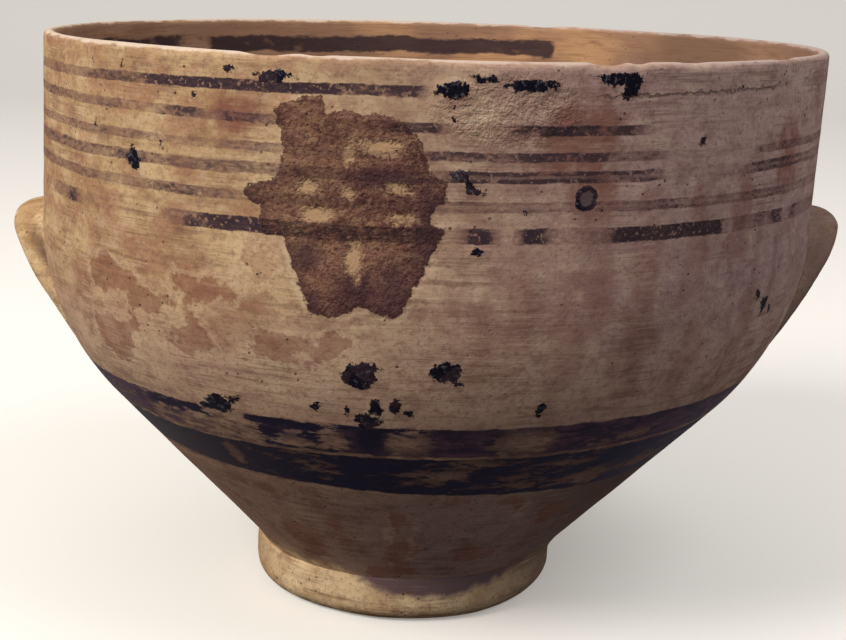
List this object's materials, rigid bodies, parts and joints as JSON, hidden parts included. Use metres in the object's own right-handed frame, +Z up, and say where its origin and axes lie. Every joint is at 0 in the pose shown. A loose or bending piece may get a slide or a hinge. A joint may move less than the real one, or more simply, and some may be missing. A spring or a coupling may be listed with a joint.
{
  "type": "footed pottery bowl",
  "caption": "Deep footed pottery bowl with an upright banded wall, a conical lower body, a low ring foot and two loop handles pressed to the wall.",
  "frame": {"origin": "on the surface that the bowl stands on, under the middle of the whole object's width and depth", "axes": "+Z up, +X towards the right handle and +Y away from the pictured front"},
  "size_m": [0.2627, 0.24, 0.1763],
  "materials": {
    "painted_clay": "matt buff slip with worn brown and violet-black bands",
    "foot_clay": "matt cream slip",
    "handle_clay": "matt buff slip"
  },
  "bodies": {
    "root": {"bowl_body": "painted_clay", "foot_ring": "foot_clay", "left_handle": "handle_clay", "right_handle": "handle_clay"}
  },
  "joints": []
}
